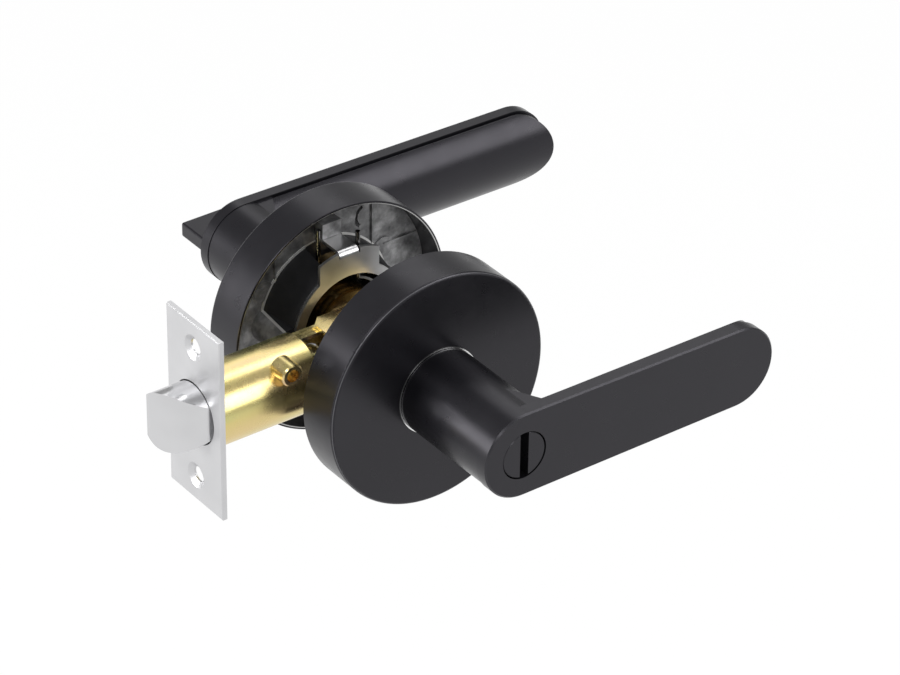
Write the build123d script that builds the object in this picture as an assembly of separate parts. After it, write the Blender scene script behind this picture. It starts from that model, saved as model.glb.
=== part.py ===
from build123d import *
import math
import os

os.makedirs("parts", exist_ok=True)

# Frame: X runs along the latch and away from the bolt, Y along the spindle and
# out of the inside rose, Z up. The origin is where the spindle crosses the latch.

# Driving sizes in millimetres
backset = 60.0  # front of the faceplate to the spindle's axis
door_thickness = 32.0  # gap between the two roses
running_gap = 0.08  # radial clearance of a turning or sliding fit
loose_gap = 0.3  # clearance between parts that only pass each other

# Roses
rose_radius = 35.5
rose_depth = 13.5
rose_wall = 0.9
rose_face = 1.4
rose_edge = 0.9
rim_edge = 0.15
housing_gap = 0.1
housing_depth = 9.0  # rim to the casting's floor
housing_web = 0.8  # inside the drum
drum_top_radius = 18.7
drum_draft = 2.4
drum_bore = 17.4
drum_window = 12.4
ejector_radius = 3.2
ejector_height = 0.4
ejector_x = 20.5
ejector_z = 11.2
rib_width = 0.5
rib_height = 0.6
rib_x = 16.5
rib_z = 12.3
bead_width = 0.6
bead_height = 0.35
lug_height = 4.3
lug_end = 28.5
lug_gap = 0.1
hook_radius = 3.6
hook_width = 1.1
hook_depth = 1.5
hook_centre = (14.8, 23.4)
hook_span = (112, 228)
pad_height = 1.0
pad_margin = 2.0

# Levers
neck_radius = 12.8
lever_reach = 38.5  # face of the rose to the face of the blade
blade_half_width = 13.0  # at the neck
blade_tip_half = 12.5
blade_thickness = 4.0
blade_edge = 0.45
groove_depth = 0.7
groove_width = 0.7
grip_depth = 5.8
lever_droop = 0.6  # degrees below level at rest
outside_lever_length = 86.3  # spindle's axis to the tip
inside_lever_length = 107.5
shoulder_start = 3.3  # the shoulder widens from here at the neck
shoulder_end = 9.4  # to here at the blade
shoulder_depth = 11.4
shoulder_inset = 0.8
neck_end_gap = 0.2
journal_radius = 10.9
spigot_radius = 7.6
spigot_flat = 6.1  # axis to each driving flat
spigot_length = 8.0
grub_radius = 2.0
grub_socket = 1.1
grub_socket_depth = 1.8
grub_inset = 0.8
grub_from_rose = 4.5

# Bearings and springs in the roses
bush_wall = 1.0
bush_flange = 0.3
bush_lip = 0.5
bush_edge = 0.12
washer_thickness = 1.0
washer_width = 2.6
end_play = 0.3
clip_thickness = 1.0
clip_width = 2.4
clip_groove = 0.7
clip_opening = 60.0
sleeve_radius = 10.4
sleeve_recess = 2.5
sleeve_lip = 0.8
sleeve_stand = 3.5  # how far the sleeve reaches into the door's bore
tooth_half_width = 3.3
tooth_radius = 16.8
tooth_root = 14.5
tooth_thickness = 2.0
cover_stand = 3.8
cover_thickness = 1.0
cover_bore = 15.4
cover_ring = 18.5
cover_wing = 23.7
cover_wing_half = 10.0
cover_tab_half = 3.15
cover_bend = 2.0  # outside radius where a tab leaves its wing
cover_relief = 0.4  # slit beside each tab
notch_rim = 1.6
return_coil_radius = 13.2
return_wire = 1.4
return_coils = 3
return_pitch = 2.25
return_leg_x = 4.4
return_leg_end = 27.2
wire_sides = 12  # flats round a coiled wire's section

# Through fasteners
post_spread = 19.0  # spindle's axis to each post
post_radius = 3.2
post_wall = 1.2
post_bore_depth = 25.0
post_gap = 0.5
boss_wall = 1.2
boss_draft = 1.0
post_top = 5.7
screw_radius = 2.0
screw_head_radius = 3.9
screw_length = 31.0
recess_width = 1.2
recess_half = 2.4

# Spindle, cam and privacy turn
spindle_side = 6.3
spindle_grip = 12.0  # length inside each neck, past the rose's face
spindle_edge = 0.3
rod_radius = 2.0
rod_gap = 0.1
hub_radius = 5.92
arm_reach = 11.0
arm_tip_radius = 1.2
arm_half_width = 1.8
lean_angle = 30.0  # each arm leans this far to the bolt at rest
bolt_travel = 2 * arm_reach * math.sin(math.radians(lean_angle))
coin_radius = 6.9
coin_gap = 0.3
coin_float = 0.1
coin_edge = 0.2
coin_depth = 4.8
coin_slot = 2.8
coin_slot_depth = 3.9
turn_length = 21.6
turn_thickness = 4.6
turn_height = 12.7
turn_edge = 0.7

# Latch
plate_height = 57.15
plate_width = 25.4
plate_thickness = 1.6
plate_hole_spacing = 41.3
plate_hole_radius = 2.3
countersink_radius = 3.9
countersink_depth = 1.0
plate_edge = 0.25
bolt_radius = 9.2
bolt_gap = 0.3
bolt_flat = 6.5  # axis to the flat side that meets the strike
bolt_reach = 11.0
bevel_radius = 14.4
bevel_straight = 2.1  # the bolt is full this far outside the bevel's centre
bolt_collar = 2.5
bolt_bore = 4.85
bolt_nose = 8.0  # solid length at the bolt's tip
tube_radius = 11.3
tube_wall = 0.7
tube_length = 32.4
stud_radius = 3.3
stud_bore = 1.9
stud_bore_depth = 3.7
stud_edge = 0.4
stud_reach = 12.2
stud_x = -36.0
stud_z = 9.0
seat_thickness = 1.4
web_thickness = 2.0
nut_length = 2.0
nut_radius = 3.4
nut_gap = 1.0  # nut to the nearer post with the bolt drawn in
coil_radius = 4.0
coil_wire = 1.0
coil_turns = 7
draw_rod_radius = 1.7
case_gauge = 1.0
case_half_height = 8.4
case_half_width = 6.3
case_wing = 9.0
case_front = 16.0  # the top and bottom plates start here
case_back = 12.0
case_slot_half = 2.5
retractor_gauge = 1.3
ear_thickness = 1.9
ear_gap = 0.25
ear_over = 0.5  # how far the ears pass the arms' circle

# Levels along Y on the inside half; the outside half is their mirror image
rim_y = door_thickness / 2
face_y = rim_y + rose_depth
face_back_y = face_y - rose_face
floor_y = face_back_y - housing_web
plate_y = rim_y + housing_depth
pad_y = floor_y - pad_height
washer_y = pad_y - washer_thickness
clip_y = washer_y - end_play
journal_y = pad_y - end_play
neck_y = face_y + bush_flange + neck_end_gap
socket_y = journal_y - spigot_length
sleeve_y = rim_y - sleeve_stand
cover_y = rim_y - cover_stand
cover_back_y = cover_y + cover_thickness
blade_y = face_y + lever_reach
blade_back_y = blade_y - blade_thickness
tooth_y = clip_y - clip_thickness - end_play
coin_floor_y = blade_y - coin_depth
coin_back_y = coin_floor_y + coin_float
rod_end_y = blade_y - coin_slot_depth
spindle_end_y = face_y + spindle_grip
bush_bore = journal_radius + running_gap
bush_radius = bush_bore + bush_wall
coin_recess = coin_radius + coin_gap
housing_radius = rose_radius - rose_wall - housing_gap
drum_foot_radius = drum_top_radius + drum_draft

# Places along X
plate_x = -backset
plate_back_x = plate_x + plate_thickness
bolt_tip_x = plate_x - bolt_reach
tube_end_x = plate_back_x + tube_length
tube_bore = tube_radius - tube_wall
collar_x = plate_back_x + loose_gap
bolt_back_x = collar_x + bolt_collar
nut_back_x = -post_spread - post_radius - bolt_travel - nut_gap
web_back_x = nut_back_x - nut_length
web_x = web_back_x - web_thickness
seat_back_x = web_x - 4 * loose_gap
seat_x = seat_back_x - seat_thickness
bolt_bore_x = bolt_tip_x + bolt_nose

# Cam and retractor
case_inner_height = case_half_height - case_gauge
case_inner_width = case_half_width - case_gauge
window_half = hub_radius + loose_gap
retractor_half_height = case_inner_height - loose_gap / 2
retractor_outer = case_inner_width - running_gap
retractor_inner = retractor_outer - retractor_gauge
lean = math.radians(lean_angle)
ear_top = arm_reach + ear_over
ear_bend_z = arm_reach * math.cos(lean)


def cylinder_y(radius, start, end, x=0.0, z=0.0):
    length = end - start
    return Pos(x, (start + end) / 2, z) * Rot(90, 0, 0) * Cylinder(radius, length)


def cylinder_x(radius, start, end, y=0.0, z=0.0):
    length = end - start
    return Pos((start + end) / 2, y, z) * Rot(0, 90, 0) * Cylinder(radius, length)


def ring_y(outer, inner, start, end):
    return cylinder_y(outer, start, end) - cylinder_y(inner, start, end)


def block(x_span, y_span, z_span):
    spans = (x_span, y_span, z_span)
    centre = [(low + high) / 2 for low, high in spans]
    return Pos(*centre) * Box(*[high - low for low, high in spans])


def at_angle(solid, degrees):
    """Turn a solid about the spindle's axis; 0 is +X and 90 is +Z."""
    return Rot(0, -degrees, 0) * solid


def extrude_xz(sketch, start, end):
    """Extrude a sketch drawn as X, Z from one Y level to another."""
    flat = Plane(origin=(0, start, 0), x_dir=(1, 0, 0), z_dir=(0, -1, 0))
    return extrude(flat * sketch, amount=end - start, dir=(0, 1, 0))


def edges_at(solid, axis, position, reach=1e-3):
    return solid.edges().filter_by_position(axis, position - reach, position + reach)


def mirror_outside(solid):
    return mirror(solid, about=Plane.XZ)


def helix_wire(radius, wire, length, turns):
    """A coil along +Z from the origin."""
    path = Helix(pitch=length / turns, height=length, radius=radius)
    section = Plane(origin=path @ 0, z_dir=path % 0) * RegularPolygon(wire / 2, wire_sides)
    return sweep(section, path=path, is_frenet=True)


def cone_y(start_radius, end_radius, start, end, x=0.0):
    """A cone from one Y level up to another."""
    centre = Pos(x, (start + end) / 2, 0)
    return centre * Rot(-90, 0, 0) * Cone(start_radius, end_radius, end - start)


def screw_hole(x):
    hole = cylinder_y(screw_radius + loose_gap, cover_back_y, face_y, x=x)
    return hole + screw_head(x, loose_gap / 3)


def rose(screw_holes):
    """Turned cover, open to the door."""
    shell = cylinder_y(rose_radius, rim_y, face_y)
    shell = fillet(edges_at(shell, Axis.Y, face_y), rose_edge)
    shell -= cylinder_y(rose_radius - rose_wall, rim_y, face_back_y)
    shell = chamfer(edges_at(shell, Axis.Y, rim_y), rim_edge)
    shell -= cylinder_y(bush_radius, face_back_y, face_y)
    if screw_holes:
        for side in (-1, 1):
            shell -= screw_hole(side * post_spread)
    return shell


def housing(screw_holes):
    """Cast disc in the rose: a drum round the return spring, bosses, ribs."""
    body = cylinder_y(housing_radius, plate_y, face_back_y)
    body += cylinder_y(drum_foot_radius + bead_width, plate_y - bead_height, plate_y)
    body += cone_y(drum_top_radius, drum_foot_radius, cover_back_y, plate_y)
    body -= cylinder_y(drum_bore, cover_back_y, floor_y)
    for side in (-1, 1):
        x = side * post_spread
        boss_top = post_radius + boss_wall
        body += cone_y(boss_top, boss_top + boss_draft, cover_back_y, plate_y, x=x)
        body += cylinder_y(boss_top, plate_y, floor_y, x=x)
        for level in (-1, 1):
            body += ejector_mark(side, level)
            body += floor_ribs(side, level)
    half_window = drum_window / 2
    window_top = drum_foot_radius + bead_width
    for level in (-1, 1):
        z_span = sorted((level * (drum_bore / 2), level * window_top))
        body -= block((-half_window, half_window), (cover_back_y, plate_y), z_span)
        z_span = sorted((level * (cover_wing + lug_gap), level * lug_end))
        body += block((-cover_tab_half, cover_tab_half), (plate_y - lug_height, plate_y), z_span)
    hook = spring_hook_slot()
    body -= hook
    body -= at_angle(hook, 180)
    body += ring_y(bush_radius + pad_margin, bush_radius, pad_y, floor_y)
    body -= cylinder_y(bush_radius, pad_y, face_back_y)
    for side in (-1, 1):
        x = side * post_spread
        if screw_holes:
            body -= screw_hole(x)
        else:
            body -= cylinder_y(post_radius, cover_back_y, floor_y, x=x)
    return body


def ejector_mark(side, level):
    return cylinder_y(
        ejector_radius, plate_y - ejector_height, plate_y, x=side * ejector_x, z=level * ejector_z
    )


def floor_ribs(side, level):
    """A rib along X from the ejector mark to the edge, and one along Z."""
    half = rib_width / 2
    y_span = (plate_y - rib_height, plate_y)
    along_end = math.sqrt(housing_radius**2 - rib_z**2) - half
    upright_end = math.sqrt(housing_radius**2 - rib_x**2) - half
    x_span = sorted((side * ejector_x, side * along_end))
    along = block(x_span, y_span, (level * rib_z - half, level * rib_z + half))
    z_span = sorted((level * rib_z, level * upright_end))
    return along + block((side * rib_x - half, side * rib_x + half), y_span, z_span)


def spring_hook_slot():
    """Arc slot in the casting's floor."""
    middle = (hook_span[0] + hook_span[1]) / 2
    half = math.radians(hook_span[1] - middle)
    reach = 2 * hook_radius
    wedge = Polygon(
        (0, 0),
        (reach * math.cos(half), reach * math.sin(half)),
        (reach * math.cos(half), -reach * math.sin(half)),
        align=None,
    )
    ring = Circle(hook_radius + hook_width / 2) - Circle(hook_radius - hook_width / 2)
    arc = Pos(*hook_centre) * Rot(0, 0, middle) * (ring & wedge)
    return extrude_xz(arc, plate_y, plate_y + hook_depth)


def screw_head(x, gap=0.0):
    """Countersunk head, flush with the rose's face."""
    depth = screw_head_radius - screw_radius
    cone = Cone(screw_radius + gap, screw_head_radius + gap, depth)
    return Pos(x, face_y - depth / 2, 0) * Rot(-90, 0, 0) * cone


def neck_bush():
    lip_y = face_y + bush_flange
    lip = ring_y(neck_radius + bush_lip, bush_bore, face_y, lip_y)
    lip = chamfer(edges_at(lip, Axis.Y, lip_y), bush_edge)
    return lip + ring_y(bush_radius, bush_bore, pad_y, face_y)


def thrust_washer():
    inner = bush_bore + loose_gap
    return ring_y(inner + washer_width, inner, washer_y, pad_y)


def spring_cover():
    """Stamped ring with two wings, whose bent tabs stand on the rose's floor."""
    ring = Circle(cover_ring)
    wing = Circle(cover_wing) & Rectangle(2 * cover_wing_half, 2 * cover_wing)
    outline = ring + wing - Circle(cover_bore)
    notch_radius = post_radius + post_gap
    for side in (-1, 1):
        outline += Pos(side * post_spread, 0) * Circle(notch_radius + notch_rim) & ring
    slit = 2 * (cover_tab_half + cover_relief)
    for side in (-1, 1):
        outline -= Pos(side * post_spread, 0) * Circle(notch_radius)
        outline -= Pos(0, side * cover_wing) * Rectangle(slit, 2 * cover_bend)
    plate = extrude_xz(outline, cover_y, cover_back_y)
    tab = cover_tab()
    return plate + tab + mirror(tab, about=Plane.XY)


def cover_tab():
    """Upper tab: a rounded bend, then a leg down to the casting's floor."""
    centre_y = cover_y + cover_bend
    centre_z = cover_wing - cover_bend
    corner = block((-cover_tab_half, cover_tab_half), (cover_y, centre_y), (centre_z, cover_wing))
    bend = cylinder_across(cover_bend, centre_y, centre_z) - cylinder_across(
        cover_bend - cover_thickness, centre_y, centre_z
    )
    leg_z = (cover_wing - cover_thickness, cover_wing)
    leg = block((-cover_tab_half, cover_tab_half), (centre_y, plate_y), leg_z)
    return (bend & corner) + leg


def cylinder_across(radius, y, z):
    return Pos(0, y, z) * Rot(0, 90, 0) * Cylinder(radius, 2 * cover_tab_half)


def return_spring():
    """Torsion spring round the sleeve; its legs stand through the drum's window."""
    gap = math.degrees(math.asin(return_leg_x / return_coil_radius))
    turns = return_coils - 2 * gap / 360
    length = turns * return_pitch
    coil = helix_wire(return_coil_radius, return_wire, length, turns)
    coil = Rot(-90, 0, 0) * Rot(0, 0, gap - 90) * coil
    start = cover_back_y + return_wire
    spring = Pos(0, start, 0) * coil
    leg_foot = math.sqrt(return_coil_radius**2 - return_leg_x**2)
    leg_length = return_leg_end - leg_foot
    leg_z = (return_leg_end + leg_foot) / 2
    for x, y in ((return_leg_x, start), (-return_leg_x, start + length)):
        spring += Pos(x, y, leg_z) * Cylinder(return_wire / 2, leg_length)
    return spring


def hub_sleeve():
    sleeve = cylinder_y(sleeve_radius, sleeve_y, journal_y)
    sleeve += spring_tooth()
    sleeve -= cylinder_y(sleeve_radius - sleeve_lip, sleeve_y, sleeve_y + sleeve_recess)
    sleeve -= spigot(socket_y)
    sleeve -= spindle_blank(sleeve_y, socket_y)
    groove = ring_y(sleeve_radius, sleeve_radius - clip_groove, clip_y - clip_thickness, clip_y)
    return sleeve - groove


def spring_tooth():
    """Tooth that stands between the return spring's legs and pushes one of them."""
    half = tooth_half_width
    limit = cylinder_y(tooth_radius, cover_back_y, tooth_y)
    arm = block((-half, half), (tooth_y - tooth_thickness, tooth_y), (sleeve_radius / 2, tooth_radius))
    prong_y = cover_back_y + loose_gap
    prong = block((-half, half), (prong_y, tooth_y), (tooth_root, tooth_radius))
    return (arm + prong) & limit


def spigot(start):
    """Round spigot with two flats, which drives the sleeve."""
    turned = cylinder_y(spigot_radius, start, journal_y)
    return turned & block((-spigot_flat, spigot_flat), (start, journal_y), (-spigot_radius, spigot_radius))


def retaining_ring():
    inner = sleeve_radius - clip_groove
    ring = ring_y(inner + clip_width, inner, clip_y - clip_thickness, clip_y)
    reach = 2 * sleeve_radius
    half = math.radians(clip_opening / 2)
    corner = (reach * math.cos(half), reach * math.sin(half))
    opening = Polygon((0, 0), corner, (corner[0], -corner[1]), align=None)
    return ring - extrude_xz(opening, clip_y - clip_thickness, clip_y)


def spindle_blank(start, end):
    half = spindle_side / 2
    return block((-half, half), (start, end), (-half, half))


def blade(length):
    """Flat blade with round ends, a groove behind it and a domed grip."""
    tip_x = length - blade_tip_half
    plate = extrude_xz(blade_outline(tip_x), blade_back_y, blade_y)
    plate = chamfer(edges_at(plate, Axis.Y, blade_y), blade_edge)
    grip_y = blade_back_y - groove_width
    groove_floor = blade_outline(tip_x, 2 * groove_depth)
    plate += extrude_xz(groove_floor, grip_y, blade_back_y)
    return plate + grip(tip_x, grip_y)


def blade_outline(tip_x, inset=0.0):
    """Two round ends joined by straight sides that taper to the tip."""
    root = Circle(blade_half_width - inset)
    tip = Pos(tip_x, 0) * Circle(blade_tip_half - inset)
    return make_hull([*root.edges(), *tip.edges()])


def grip(tip_x, start_y):
    """Bar with a shallow arc for its section, cut off upright round the tip."""
    half_width = blade_half_width - groove_depth
    arc_radius = (half_width**2 + grip_depth**2) / (2 * grip_depth)
    above_chord = Pos(0, grip_depth / 2) * Rectangle(2 * half_width, grip_depth)
    section = (Pos(0, grip_depth - arc_radius) * Circle(arc_radius)) & above_chord
    across = Plane(origin=(0, start_y, 0), x_dir=(0, 0, 1), z_dir=(1, 0, 0))
    bar = extrude(across * section, amount=tip_x + blade_tip_half, dir=(1, 0, 0))
    return bar & extrude_xz(blade_outline(tip_x, groove_depth), start_y - grip_depth, start_y + grip_depth)


def lever(length):
    """Blade, neck, journal and spigot, cast in one piece."""
    body = at_angle(blade(length) + shoulder(), -lever_droop)
    body += cylinder_y(neck_radius, neck_y, blade_back_y)
    body += cylinder_y(blade_half_width - groove_depth, blade_back_y - grip_depth, blade_back_y)
    body += cylinder_y(journal_radius, journal_y, neck_y)
    body += spigot(socket_y)
    body -= spindle_blank(socket_y, spindle_end_y)
    body -= cylinder_y(rod_radius + rod_gap, spindle_end_y, coin_floor_y)
    body -= cylinder_y(coin_recess, coin_floor_y, blade_y)
    return body - grub_blank(-neck_radius)


def shoulder():
    """Wedge that leads from the neck's side out to the blade."""
    half = blade_half_width - shoulder_inset
    start_y = blade_back_y - shoulder_depth
    plan = Polygon(
        (0, start_y), (shoulder_start, start_y), (shoulder_end, blade_back_y), (0, blade_back_y), align=None
    )
    return extrude(Pos(0, 0, -half) * plan, amount=2 * half, dir=(0, 0, 1))


def grub_blank(bottom):
    centre = (bottom - spindle_side / 2) / 2
    height = -spindle_side / 2 - bottom
    return Pos(0, face_y + grub_from_rose, centre) * Cylinder(grub_radius, height)


def grub_screw():
    bottom = -neck_radius + grub_inset
    screw = grub_blank(bottom)
    socket = extrude(RegularPolygon(grub_socket, 6), amount=grub_socket_depth)
    return screw - Pos(0, face_y + grub_from_rose, bottom) * socket


def coin_release():
    """Slotted disc in the outside lever's face, drawn on the inside half."""
    disc = cylinder_y(coin_radius, coin_back_y, blade_y - coin_float)
    disc = chamfer(edges_at(disc, Axis.Y, blade_y - coin_float), coin_edge)
    slot = block(
        (-coin_slot / 2, coin_slot / 2),
        (blade_y - coin_slot_depth, blade_y),
        (-coin_radius, coin_radius),
    )
    return disc - slot - rod_hole()


def rod_hole():
    return cylinder_y(rod_radius, coin_back_y, rod_end_y)


def thumb_turn():
    disc = cylinder_y(coin_radius, coin_back_y, blade_y + loose_gap)
    bar = block(
        (-turn_length / 2, turn_length / 2),
        (blade_y + loose_gap, blade_y + loose_gap + turn_height),
        (-turn_thickness / 2, turn_thickness / 2),
    )
    bar = fillet(bar.edges(), turn_edge)
    return disc + bar - rod_hole()


def privacy_rod():
    return cylinder_y(rod_radius, -rod_end_y, rod_end_y)


def spindle():
    bar = spindle_blank(-spindle_end_y, spindle_end_y)
    bar = chamfer(bar.edges().filter_by(Axis.Y), spindle_edge)
    return bar - cylinder_y(rod_radius + rod_gap, -spindle_end_y, spindle_end_y)


def cam_arm(side):
    """One arm of the cam, up for side 1 and down for side -1."""
    tip = (-arm_reach * math.sin(lean), side * arm_reach * math.cos(lean))
    flank = make_hull(
        [
            *(Pos(tip[0], tip[1]) * Circle(arm_tip_radius)).edges(),
            *Circle(arm_tip_radius).edges(),
        ]
    )
    return extrude_xz(flank, -arm_half_width, arm_half_width)


def cam_hub():
    half_length = case_half_width + loose_gap
    hub = cylinder_y(hub_radius, -half_length, half_length)
    hub += cam_arm(1)
    hub += cam_arm(-1)
    return hub - spindle_blank(-half_length, half_length)


def mounting_posts():
    """Posts pressed in the outside housing, open towards the inside rose."""
    posts = []
    for side in (-1, 1):
        x = side * post_spread
        post = cylinder_y(post_radius, -floor_y, post_top, x=x)
        post -= cylinder_y(post_radius - post_wall, post_top - post_bore_depth, post_top, x=x)
        posts.append(post)
    return Compound(children=posts)


def mounting_screws():
    screws = []
    for side in (-1, 1):
        x = side * post_spread
        screw = cylinder_y(screw_radius - running_gap, face_y - screw_length, face_y, x=x)
        screw += screw_head(x)
        recess = block(
            (x - recess_width / 2, x + recess_width / 2),
            (face_y - recess_width, face_y),
            (-recess_half, recess_half),
        )
        cross = block(
            (x - recess_half, x + recess_half),
            (face_y - recess_width, face_y),
            (-recess_width / 2, recess_width / 2),
        )
        screws.append(screw - recess - cross)
    return Compound(children=screws)


def faceplate():
    plate = block(
        (plate_x, plate_back_x),
        (-plate_width / 2, plate_width / 2),
        (-plate_height / 2, plate_height / 2),
    )
    plate = chamfer(edges_at(plate, Axis.X, plate_x), plate_edge)
    plate -= bolt_bar(bolt_gap, plate_x, plate_back_x)
    for side in (-1, 1):
        z = side * plate_hole_spacing / 2
        plate -= cylinder_x(plate_hole_radius, plate_x, plate_back_x, z=z)
        cone = Cone(countersink_radius, plate_hole_radius, countersink_depth)
        plate -= Pos(plate_x + countersink_depth / 2, 0, z) * Rot(0, 90, 0) * cone
    return plate


def bolt_bar(gap, start, end):
    """Round bar with a flat on its inside half; gap makes it the hole for one."""
    radius = bolt_radius + gap
    return cylinder_x(radius, start, end) & block((start, end), (-radius, bolt_flat + gap), (-radius, radius))


def latch_bolt():
    """Bolt with a curved bevel on the outside half, hollow from behind."""
    reach = bolt_radius + bevel_radius
    centre_x = bolt_tip_x + bevel_radius
    keep = Pos(centre_x, bolt_flat, 0) * Cylinder(bevel_radius, 2 * reach)
    keep += block((centre_x - bevel_straight, collar_x), (-reach, reach), (-reach, reach))
    nose = bolt_bar(0, bolt_tip_x, collar_x) & keep
    nose += cylinder_x(tube_bore - running_gap, collar_x, bolt_back_x)
    nose -= cylinder_x(bolt_bore, bolt_bore_x, bolt_back_x)
    return nose - cylinder_x(draw_rod_radius, bolt_tip_x + bolt_nose / 2, bolt_bore_x)


def latch_tube():
    tube = cylinder_x(tube_radius, plate_back_x, tube_end_x)
    return tube - cylinder_x(tube_bore, plate_back_x, tube_end_x)


def tube_stud():
    stud = cylinder_y(stud_radius, -stud_reach, -stud_reach / 2, x=stud_x, z=stud_z)
    stud = chamfer(edges_at(stud, Axis.Y, -stud_reach), stud_edge)
    stud -= cylinder_y(stud_bore, -stud_reach, stud_bore_depth - stud_reach, x=stud_x, z=stud_z)
    return stud - cylinder_x(tube_radius, plate_back_x, tube_end_x)


def spring_seat():
    disc = cylinder_x(tube_bore, seat_x, seat_back_x)
    return disc - cylinder_x(draw_rod_radius + loose_gap, seat_x, seat_back_x)


def bolt_spring():
    start = bolt_bore_x + coil_wire / 2
    length = seat_x - bolt_bore_x - coil_wire
    coil = helix_wire(coil_radius, coil_wire, length, coil_turns)
    return Pos(start, 0, 0) * Rot(0, 90, 0) * coil


def draw_rod():
    return cylinder_x(draw_rod_radius, bolt_tip_x + bolt_nose / 2, nut_back_x)


def rod_nut():
    blank = extrude(RegularPolygon(nut_radius, 6), amount=nut_length)
    nut = Pos(web_back_x, 0, 0) * Rot(0, 90, 0) * blank
    return nut - cylinder_x(draw_rod_radius, web_back_x, nut_back_x)


def ear_sketch():
    """Ear behind the upper arm, drawn as X, Z: it follows the arm's flank at rest."""
    slope = math.tan(lean)
    flank = (arm_tip_radius + ear_gap) / math.cos(lean)
    low_z = window_half
    low_x = flank - slope * low_z
    bend_x = flank - slope * ear_bend_z
    points = [
        (low_x, low_z),
        (bend_x, ear_bend_z),
        (bend_x, ear_top),
        (bend_x + ear_thickness, ear_top),
        (low_x + ear_thickness, ear_bend_z),
        (low_x + ear_thickness, low_z),
    ]
    return Polygon(*points, align=None), low_x + ear_thickness


def retractor():
    """Two windowed side plates, a front web and an ear behind each arm."""
    ear, back_x = ear_sketch()
    high = retractor_half_height
    body = block((web_x, web_back_x), (-retractor_outer, retractor_outer), (-high, high))
    for side in (-1, 1):
        y_span = sorted((side * retractor_inner, side * retractor_outer))
        for level in (-1, 1):
            z_span = sorted((level * window_half, level * high))
            body += block((web_x, back_x), y_span, z_span)
    tongue = extrude_xz(ear, -arm_half_width, arm_half_width)
    limit = block((-backset, backset), (-retractor_outer, retractor_outer), (window_half, high))
    bridge = extrude_xz(ear, -retractor_outer, retractor_outer) & limit
    upper = tongue + bridge
    body += upper
    body += mirror(upper, about=Plane.XY)
    return body - cylinder_x(draw_rod_radius, web_x, web_back_x)


def latch_case():
    """Folded case: two cheeks in the tube, slotted plates above and below."""
    case = None
    for side in (-1, 1):
        y_span = sorted((side * case_inner_width, side * case_half_width))
        cheek = block((seat_back_x, case_back), y_span, (-case_half_height, case_half_height))
        case = cheek if case is None else case + cheek
    taper = case_wing - case_half_width
    half = [
        (-case_front, 0),
        (-case_front, case_half_width),
        (-case_front + taper, case_wing),
        (case_back - taper, case_wing),
        (case_back, case_half_width),
        (case_back, 0),
    ]
    lower = [(x, -y) for x, y in reversed(half[1:-1])]
    outline = Polygon(*half, *lower, align=None)
    outline -= Rectangle(2 * arm_reach, 2 * case_slot_half)
    for level in (-1, 1):
        base = case_inner_height if level > 0 else -case_half_height
        case += extrude(Pos(0, 0, base) * outline, amount=case_gauge, dir=(0, 0, 1))
    case -= cylinder_y(hub_radius + running_gap, -case_half_width, case_half_width)
    post_hole = post_radius + post_gap
    return case - cylinder_y(post_hole, -case_half_width, case_half_width, x=-post_spread)


inside = {
    "inside_rose": rose(True),
    "inside_housing": housing(True),
    "inside_neck_bush": neck_bush(),
    "inside_thrust_washer": thrust_washer(),
    "inside_spring_cover": spring_cover(),
    "inside_return_spring": return_spring(),
    "inside_hub_sleeve": hub_sleeve(),
    "inside_retaining_ring": retaining_ring(),
    "inside_lever": lever(inside_lever_length),
    "thumb_turn": thumb_turn(),
}
outside = {
    "outside_rose": rose(False),
    "outside_housing": housing(False),
    "outside_neck_bush": inside["inside_neck_bush"],
    "outside_thrust_washer": inside["inside_thrust_washer"],
    "outside_spring_cover": inside["inside_spring_cover"],
    "outside_return_spring": inside["inside_return_spring"],
    "outside_hub_sleeve": inside["inside_hub_sleeve"],
    "outside_retaining_ring": inside["inside_retaining_ring"],
    "outside_lever": lever(outside_lever_length),
    "coin_release": coin_release(),
}
middle = {
    "grub_screws": Compound(children=[grub_screw(), mirror_outside(grub_screw())]),
    "mounting_posts": mounting_posts(),
    "mounting_screws": mounting_screws(),
    "spindle": spindle(),
    "cam_hub": cam_hub(),
    "privacy_rod": privacy_rod(),
    "faceplate": faceplate(),
    "latch_bolt": latch_bolt(),
    "latch_tube": latch_tube(),
    "tube_stud": tube_stud(),
    "spring_seat": spring_seat(),
    "bolt_spring": bolt_spring(),
    "draw_rod": draw_rod(),
    "rod_nut": rod_nut(),
    "retractor": retractor(),
    "latch_case": latch_case(),
}

nodes = {**inside, **middle}
for name, solid in outside.items():
    nodes[name] = mirror_outside(solid)

for name, solid in nodes.items():
    export_step(solid, f"parts/{name}.step")
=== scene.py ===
import math

import bpy
from mathutils import Matrix, Vector


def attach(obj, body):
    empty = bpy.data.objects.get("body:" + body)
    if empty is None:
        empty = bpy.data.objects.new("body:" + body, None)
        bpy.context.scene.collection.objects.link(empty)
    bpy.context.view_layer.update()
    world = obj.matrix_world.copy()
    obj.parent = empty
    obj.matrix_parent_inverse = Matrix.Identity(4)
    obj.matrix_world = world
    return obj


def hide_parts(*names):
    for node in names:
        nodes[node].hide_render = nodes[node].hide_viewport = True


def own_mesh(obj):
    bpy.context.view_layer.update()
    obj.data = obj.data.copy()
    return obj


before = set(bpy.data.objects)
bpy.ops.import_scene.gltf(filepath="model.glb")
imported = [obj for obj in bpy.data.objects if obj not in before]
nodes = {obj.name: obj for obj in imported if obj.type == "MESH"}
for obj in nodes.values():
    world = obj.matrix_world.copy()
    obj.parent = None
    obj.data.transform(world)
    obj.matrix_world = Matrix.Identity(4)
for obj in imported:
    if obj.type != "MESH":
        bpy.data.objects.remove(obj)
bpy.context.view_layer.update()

MM = 0.001
WHITE = (1, 1, 1, 1)

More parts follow.
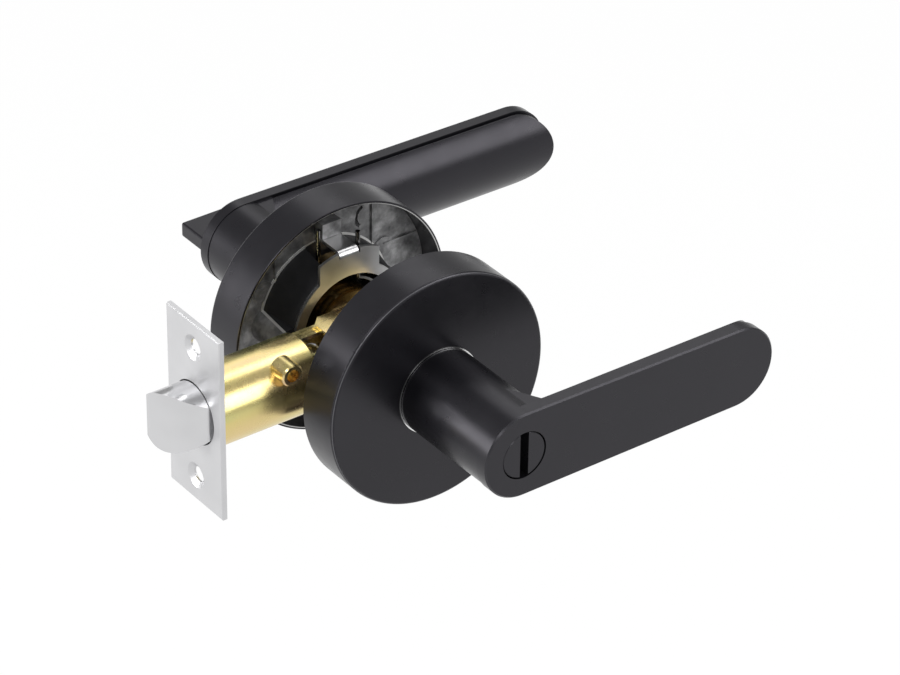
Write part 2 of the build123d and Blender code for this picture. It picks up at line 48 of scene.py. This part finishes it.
# Places that a finish, a painted highlight or painted shade follows: distances from the spindle's axis,
# and levels from the door's middle plane
RIM_LEVEL = 16.05 * MM  # just past the roses' rims
RIM_BARE = (34.55 * MM, 34.95 * MM)
DRUM_EDGE = 21.15 * MM
BEAD_EDGE = 21.75 * MM
BUSH_BRIGHT = 13.16 * MM  # the bush's lip is coated outside this radius
ROSE_EDGE = (35.14 * MM, 35.32 * MM)
ROSE_EDGE_LEVEL = 28.9 * MM
BLADE_EDGE_LEVEL = 67.3 * MM
BLADE_EDGE_SLOPE = (0.4, 0.95)  # the chamfer's normal along Y

# Patches and grain, in noise cells per metre
COAT_PATCHES = 45
COAT_GRAIN = 240
METAL_PATCHES = 70
METAL_GRAIN = 300
PLATING_PATCHES = 90
PLATING_STRETCH = (0.25, 1, 1)  # draws the patches out along the tube
CAST_PATCHES = 190
CAST_GRAIN = 400
CAST_RELIEF = 260
CAST_RELIEF_DEPTH = 0.25 * MM
NOISE_SPAN = (0.3, 0.7)  # nearly all noise lies between these

# Colours, painted highlights and painted shade, with their places along the noise where they vary
COAT_DARK = (0.0045, 0.0044, 0.0056)
COAT_LIGHT = (0.0060, 0.0058, 0.0073)
# painted highlight: a lighter colour on the roses' rounded edges
ROSE_EDGE_HIGHLIGHT = (0.075, 0.075, 0.08)
# painted highlight: a lighter colour on the blades' chamfers
BLADE_EDGE_HIGHLIGHT = (0.018, 0.018, 0.020)
RIM_COLOUR = (0.50, 0.50, 0.49)
# painted shade: a near-black colour on the casting inside the drum's bead, under the spring cover
DRUM_PAINTED_SHADE = (0.03, 0.03, 0.032)
# painted highlight: a light colour on the bead round the drum
BEAD_HIGHLIGHT = (0.55, 0.55, 0.54)
SILVER = [(0.3, (0.60, 0.60, 0.61)), (0.7, (0.65, 0.65, 0.66))]
BRIGHT = [(0.3, (0.72, 0.72, 0.72)), (0.7, (0.82, 0.82, 0.82))]
BRASS = [(0.3, (0.34, 0.24, 0.10)), (0.7, (0.46, 0.33, 0.15))]
STAMPED = [(0.3, (0.58, 0.58, 0.585)), (0.7, (0.70, 0.70, 0.705))]
SPRING = [(0.3, (0.10, 0.10, 0.10)), (0.7, (0.16, 0.155, 0.15))]
DARK_STEEL = [(0.3, (0.03, 0.03, 0.033)), (0.7, (0.05, 0.05, 0.053))]
CASTING = [(0.3, (0.07, 0.07, 0.072)), (0.5, (0.18, 0.18, 0.183)), (0.7, (0.38, 0.38, 0.385))]
PLATING = [
    (0.30, (0.57, 0.57, 0.24)),
    (0.43, (0.68, 0.57, 0.24)),
    (0.56, (0.72, 0.56, 0.27)),
    (0.70, (0.71, 0.47, 0.31)),
]

COAT_ROUGHNESS = (0.27, 0.32)
COAT_SPECULAR = 0.38
COAT_TINT = (0.93, 0.90, 1.0, 1)
BUSH_COAT_ROUGHNESS = 0.3
CAST_METALLIC = 0.6

FLOOR_GLOW = 0.95
FLOOR_LEVEL = -0.30
FLOOR_SIZE = 12
FLOOR_COLOUR = (0.9, 0.9, 0.9, 1)
FLOOR_ROUGHNESS = 0.9
WORLD_STRENGTH = 0.42
LAMP_AIM = Vector((0.02, 0, 0))
LAMPS = (
    # name, azimuth, elevation, distance, size, power
    ("lamp_window", 155, 14, 1.3, (0.6, 0.6), 12),
    ("lamp_back_left", 155, 52, 1.3, (0.5, 0.5), 2.5),
    ("lamp_back_right", 53, 45, 1.3, (0.7, 0.7), 1.8),
    ("lamp_right", 15, 58, 1.3, (0.4, 0.4), 2),
    ("lamp_front_right", 306, 26, 1.3, (0.7, 0.8), 8),
    ("lamp_front_left", 233, 38, 1.4, (0.5, 0.5), 5),
    ("lamp_above", 0, 90, 1.3, (1.0, 1.0), 2),
)

# Camera, whose azimuth 0 looks along +Y
AZIMUTH = math.radians(-36.94)
ELEVATION = math.radians(32.91)
ROLL = math.radians(0.8)
DISTANCE = 1.1748
TARGET = Vector((0.0258, 0, -0.00825))
FOCAL_LENGTH = 167.37
SENSOR_WIDTH = 36


# Shader helpers

def new_material(name):
    material = bpy.data.materials.new(name)
    material.use_nodes = True
    tree = material.node_tree
    return material, tree, tree.nodes["Principled BSDF"]


def object_coordinates(tree, scale=(1, 1, 1)):
    """Coordinates that stay with the piece, stretched by the three factors."""
    coordinates = tree.nodes.new("ShaderNodeTexCoord")
    mapping = tree.nodes.new("ShaderNodeMapping")
    mapping.inputs["Scale"].default_value = scale
    tree.links.new(coordinates.outputs["Object"], mapping.inputs["Vector"])
    return mapping.outputs["Vector"]


def noise(tree, vector, scale, detail=3.0, roughness=0.5):
    texture = tree.nodes.new("ShaderNodeTexNoise")
    texture.inputs["Scale"].default_value = scale
    texture.inputs["Detail"].default_value = detail
    texture.inputs["Roughness"].default_value = roughness
    tree.links.new(vector, texture.inputs["Vector"])
    return texture.outputs["Fac"]


def ramp(tree, factor, stops):
    """A colour ramp; stops are (position, (r, g, b))."""
    node = tree.nodes.new("ShaderNodeValToRGB")
    band = node.color_ramp
    while len(band.elements) < len(stops):
        band.elements.new(0.5)
    for element, (position, colour) in zip(band.elements, stops):
        element.position = position
        element.color = (*colour, 1)
    tree.links.new(factor, node.inputs["Fac"])
    return node.outputs["Color"]


def spread(tree, factor, low, high):
    """Noise spread over low to high."""
    node = tree.nodes.new("ShaderNodeMapRange")
    node.inputs["From Min"].default_value = NOISE_SPAN[0]
    node.inputs["From Max"].default_value = NOISE_SPAN[1]
    node.inputs["To Min"].default_value = low
    node.inputs["To Max"].default_value = high
    tree.links.new(factor, node.inputs["Value"])
    return node.outputs["Result"]


def math_node(tree, operation, first, second):
    """Math on two values, each a socket or a number."""
    node = tree.nodes.new("ShaderNodeMath")
    node.operation = operation
    for place, value in zip(node.inputs, (first, second)):
        if isinstance(value, (int, float)):
            place.default_value = value
        else:
            tree.links.new(value, place)
    return node.outputs[0]


def recolour(tree, factor, colour):
    """Lay a plain colour over the base colour where the factor is 1."""
    base = tree.nodes["Principled BSDF"].inputs["Base Color"]
    node = tree.nodes.new("ShaderNodeMix")
    node.data_type = "RGBA"
    tree.links.new(factor, node.inputs["Factor"])
    tree.links.new(base.links[0].from_socket, node.inputs["A"])
    node.inputs["B"].default_value = (*colour, 1)
    tree.links.new(node.outputs["Result"], base)


def around_spindle(tree):
    """Distance from the spindle's axis, and distance from the door's middle plane."""
    split = tree.nodes.new("ShaderNodeSeparateXYZ")
    tree.links.new(object_coordinates(tree), split.inputs[0])
    flat = tree.nodes.new("ShaderNodeCombineXYZ")
    tree.links.new(split.outputs["X"], flat.inputs["X"])
    tree.links.new(split.outputs["Z"], flat.inputs["Z"])
    length = tree.nodes.new("ShaderNodeVectorMath")
    length.operation = "LENGTH"
    tree.links.new(flat.outputs[0], length.inputs[0])
    depth = math_node(tree, "ABSOLUTE", split.outputs["Y"], 0.0)
    return length.outputs["Value"], depth


def between(tree, value, low, high):
    above = math_node(tree, "GREATER_THAN", value, low)
    below = math_node(tree, "LESS_THAN", value, high)
    return math_node(tree, "MULTIPLY", above, below)


def relief(tree, shader, height, distance):
    node = tree.nodes.new("ShaderNodeBump")
    node.inputs["Distance"].default_value = distance
    tree.links.new(height, node.inputs["Height"])
    tree.links.new(node.outputs["Normal"], shader.inputs["Normal"])


# Finishes, and painted highlights and shade

def coated(name):
    """Satin coat of a nearly even colour."""
    material, tree, shader = new_material(name)
    shader.inputs["Specular IOR Level"].default_value = COAT_SPECULAR
    shader.inputs["Specular Tint"].default_value = COAT_TINT
    vector = object_coordinates(tree)
    patches = noise(tree, vector, COAT_PATCHES, detail=4)
    colour = ramp(tree, patches, [(0.3, COAT_DARK), (0.7, COAT_LIGHT)])
    tree.links.new(colour, shader.inputs["Base Color"])
    dull = spread(tree, noise(tree, vector, COAT_GRAIN), *COAT_ROUGHNESS)
    tree.links.new(dull, shader.inputs["Roughness"])
    return material


def paint_blade_edge_highlight(material):
    """Paint a highlight on the chamfer round a blade's face, as a lighter colour."""
    tree = material.node_tree
    depth = around_spindle(tree)[1]
    geometry = tree.nodes.new("ShaderNodeNewGeometry")
    split = tree.nodes.new("ShaderNodeSeparateXYZ")
    tree.links.new(geometry.outputs["True Normal"], split.inputs[0])
    tilt = math_node(tree, "ABSOLUTE", split.outputs["Y"], 0.0)
    slope = between(tree, tilt, *BLADE_EDGE_SLOPE)
    outer = math_node(tree, "GREATER_THAN", depth, BLADE_EDGE_LEVEL)
    recolour(tree, math_node(tree, "MULTIPLY", slope, outer), BLADE_EDGE_HIGHLIGHT)


def paint_rose_edge_highlight(material):
    """Paint a highlight on the rounded edge between a rose's face and its side, as a lighter colour."""
    tree = material.node_tree
    radius, depth = around_spindle(tree)
    outer = math_node(tree, "GREATER_THAN", depth, ROSE_EDGE_LEVEL)
    edge = math_node(tree, "MULTIPLY", between(tree, radius, *ROSE_EDGE), outer)
    recolour(tree, edge, ROSE_EDGE_HIGHLIGHT)


def bare_rim(material):
    """Leave the rim's inner edge uncoated."""
    tree = material.node_tree
    radius, depth = around_spindle(tree)
    inner = math_node(tree, "LESS_THAN", depth, RIM_LEVEL)
    rim = math_node(tree, "MULTIPLY", between(tree, radius, *RIM_BARE), inner)
    recolour(tree, rim, RIM_COLOUR)
    tree.links.new(rim, tree.nodes["Principled BSDF"].inputs["Metallic"])


def metal(name, stops, roughness, patch=METAL_PATCHES, stretch=(1, 1, 1)):
    """Bare or plated metal; stretch draws its patches out along an axis."""
    material, tree, shader = new_material(name)
    shader.inputs["Metallic"].default_value = 1.0
    patches = noise(tree, object_coordinates(tree, stretch), patch, detail=2)
    tree.links.new(ramp(tree, patches, stops), shader.inputs["Base Color"])
    grain = noise(tree, object_coordinates(tree), METAL_GRAIN)
    tree.links.new(spread(tree, grain, *roughness), shader.inputs["Roughness"])
    return material


def coat_lip(material):
    """Coat the bush's lip outside its bright ring."""
    tree = material.node_tree
    shader = tree.nodes["Principled BSDF"]
    coat = math_node(tree, "GREATER_THAN", around_spindle(tree)[0], BUSH_BRIGHT)
    recolour(tree, coat, COAT_DARK)
    tree.links.new(math_node(tree, "SUBTRACT", 1.0, coat), shader.inputs["Metallic"])
    dull = math_node(tree, "MULTIPLY", coat, BUSH_COAT_ROUGHNESS)
    bare = shader.inputs["Roughness"].links[0].from_socket
    tree.links.new(math_node(tree, "MAXIMUM", dull, bare), shader.inputs["Roughness"])


def cast_metal(name, stops, roughness):
    """Raw casting: dull, patchy and slightly uneven."""
    material, tree, shader = new_material(name)
    shader.inputs["Metallic"].default_value = CAST_METALLIC
    vector = object_coordinates(tree)
    patches = noise(tree, vector, CAST_PATCHES, detail=4, roughness=0.6)
    tree.links.new(ramp(tree, patches, stops), shader.inputs["Base Color"])
    dull = spread(tree, noise(tree, vector, CAST_GRAIN), *roughness)
    tree.links.new(dull, shader.inputs["Roughness"])
    relief(tree, shader, noise(tree, vector, CAST_RELIEF), CAST_RELIEF_DEPTH)
    return material


def paint_drum_shade_and_bead_highlight(material):
    """Paint shade on the casting inside its bead, as a near-black colour, and paint a highlight on the
    bead, as a light colour.
    """
    tree = material.node_tree
    radius = around_spindle(tree)[0]
    recolour(tree, between(tree, radius, DRUM_EDGE, BEAD_EDGE), BEAD_HIGHLIGHT)
    recolour(tree, math_node(tree, "LESS_THAN", radius, DRUM_EDGE), DRUM_PAINTED_SHADE)


black = coated("satin_black_coat")
# painted highlight on the blades' chamfers
paint_blade_edge_highlight(black)
rose_black = coated("satin_black_rose")
# painted highlight on the roses' rounded edges
paint_rose_edge_highlight(rose_black)
bare_rim(rose_black)
steel = metal("satin_steel", SILVER, roughness=(0.40, 0.45))
nickel = metal("bright_bolt", SILVER, roughness=(0.20, 0.23))
bright = metal("bright_steel", BRIGHT, roughness=(0.14, 0.20))
bush = metal("bright_bush", BRIGHT, roughness=(0.20, 0.26))
coat_lip(bush)
plated = metal(
    "yellow_zinc", PLATING, roughness=(0.24, 0.29), patch=PLATING_PATCHES, stretch=PLATING_STRETCH,
)
brass = metal("brass", BRASS, roughness=(0.18, 0.24))
cover = metal("spring_cover_steel", STAMPED, roughness=(0.30, 0.36))
cast = cast_metal("cast_zinc", CASTING, roughness=(0.36, 0.48))
# painted shade inside the drum, and a painted highlight on its bead
paint_drum_shade_and_bead_highlight(cast)
spring = metal("spring_steel", SPRING, roughness=(0.22, 0.30))
screws = metal("black_steel", DARK_STEEL, roughness=(0.30, 0.38))

dressed = {
    black: ["inside_lever", "outside_lever", "thumb_turn", "coin_release"],
    rose_black: ["inside_rose", "outside_rose"],
    steel: ["faceplate"],
    nickel: ["latch_bolt"],
    bright: [
        "mounting_posts", "spindle", "draw_rod", "rod_nut", "retractor",
        "inside_thrust_washer", "outside_thrust_washer", "inside_retaining_ring", "outside_retaining_ring",
    ],
    bush: ["inside_neck_bush", "outside_neck_bush"],
    plated: ["latch_tube", "tube_stud", "latch_case", "spring_seat"],
    brass: ["inside_hub_sleeve", "outside_hub_sleeve", "cam_hub"],
    cast: ["inside_housing", "outside_housing"],
    cover: ["inside_spring_cover", "outside_spring_cover"],
    spring: ["inside_return_spring", "outside_return_spring", "bolt_spring"],
    screws: ["mounting_screws", "grub_screws", "privacy_rod"],
}
for material, names in dressed.items():
    for name in names:
        for place in nodes[name].material_slots:
            place.material = material


# The bolt's spring, as a copy with its own mesh that rides with the chassis

bolt_coil = bpy.data.objects.new("bolt_spring_coil", nodes["bolt_spring"].data.copy())
bpy.context.collection.objects.link(bolt_coil)
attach(bolt_coil, "chassis")
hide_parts("bolt_spring")
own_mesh(bolt_coil)


# Floor and world

def shown_white(tree, share):
    """A factor of share for rays from the camera, and for what surfaces mirror or let through."""
    path = tree.nodes.new("ShaderNodeLightPath")
    seen = math_node(tree, "MAXIMUM", path.outputs["Is Camera Ray"], path.outputs["Is Glossy Ray"])
    seen = math_node(tree, "MAXIMUM", seen, path.outputs["Is Transmission Ray"])
    return math_node(tree, "MULTIPLY", seen, share)


def floor_material():
    material, tree, shader = new_material("pale_floor")
    shader.inputs["Base Color"].default_value = FLOOR_COLOUR
    shader.inputs["Roughness"].default_value = FLOOR_ROUGHNESS
    glow = tree.nodes.new("ShaderNodeEmission")
    glow.inputs["Color"].default_value = WHITE
    mix = tree.nodes.new("ShaderNodeMixShader")
    tree.links.new(shown_white(tree, FLOOR_GLOW), mix.inputs["Fac"])
    tree.links.new(shader.outputs[0], mix.inputs[1])
    tree.links.new(glow.outputs[0], mix.inputs[2])
    tree.links.new(mix.outputs[0], tree.nodes["Material Output"].inputs["Surface"])
    return material


def studio_world():
    """White to the camera, and a plain level for all other rays."""
    world = bpy.data.worlds.new("studio")
    world.use_nodes = True
    tree = world.node_tree
    background = tree.nodes["Background"]
    background.inputs["Color"].default_value = WHITE
    path = tree.nodes.new("ShaderNodeLightPath")
    strength = math_node(tree, "MAXIMUM", path.outputs["Is Camera Ray"], WORLD_STRENGTH)
    tree.links.new(strength, background.inputs["Strength"])
    return world


bpy.ops.mesh.primitive_plane_add(size=FLOOR_SIZE, location=(0, 0, FLOOR_LEVEL))
floor = bpy.context.object
floor.name = "floor"
floor.data.materials.append(floor_material())
bpy.context.scene.world = studio_world()
bpy.context.scene.view_settings.view_transform = "Standard"


# Camera

back = Vector((
    math.sin(AZIMUTH) * math.cos(ELEVATION),
    -math.cos(AZIMUTH) * math.cos(ELEVATION),
    math.sin(ELEVATION),
))
level = Vector((math.cos(AZIMUTH), math.sin(AZIMUTH), 0))
upward = back.cross(level)
right = math.cos(ROLL) * level + math.sin(ROLL) * upward
up = math.cos(ROLL) * upward - math.sin(ROLL) * level

camera_data = bpy.data.cameras.new("camera")
camera_data.lens = FOCAL_LENGTH
camera_data.sensor_width = SENSOR_WIDTH
camera = bpy.data.objects.new("camera", camera_data)
bpy.context.collection.objects.link(camera)
turned = Matrix((right, up, back)).transposed().to_4x4()
camera.matrix_world = Matrix.Translation(TARGET + DISTANCE * back) @ turned
bpy.context.scene.camera = camera


# Lights

def softbox(name, azimuth, elevation, distance, size, power):
    """A rectangular lamp that faces the object; azimuth 0 is +X and 90 is +Y."""
    data = bpy.data.lights.new(name, "AREA")
    data.shape = "RECTANGLE"
    data.size, data.size_y = size
    data.energy = power
    lamp = bpy.data.objects.new(name, data)
    turn, rise = math.radians(azimuth), math.radians(elevation)
    away = Vector((math.cos(turn) * math.cos(rise), math.sin(turn) * math.cos(rise), math.sin(rise)))
    lamp.location = LAMP_AIM + distance * away
    lamp.rotation_euler = (-away).to_track_quat("-Z", "Y").to_euler()
    bpy.context.collection.objects.link(lamp)


for lamp_settings in LAMPS:
    softbox(*lamp_settings)
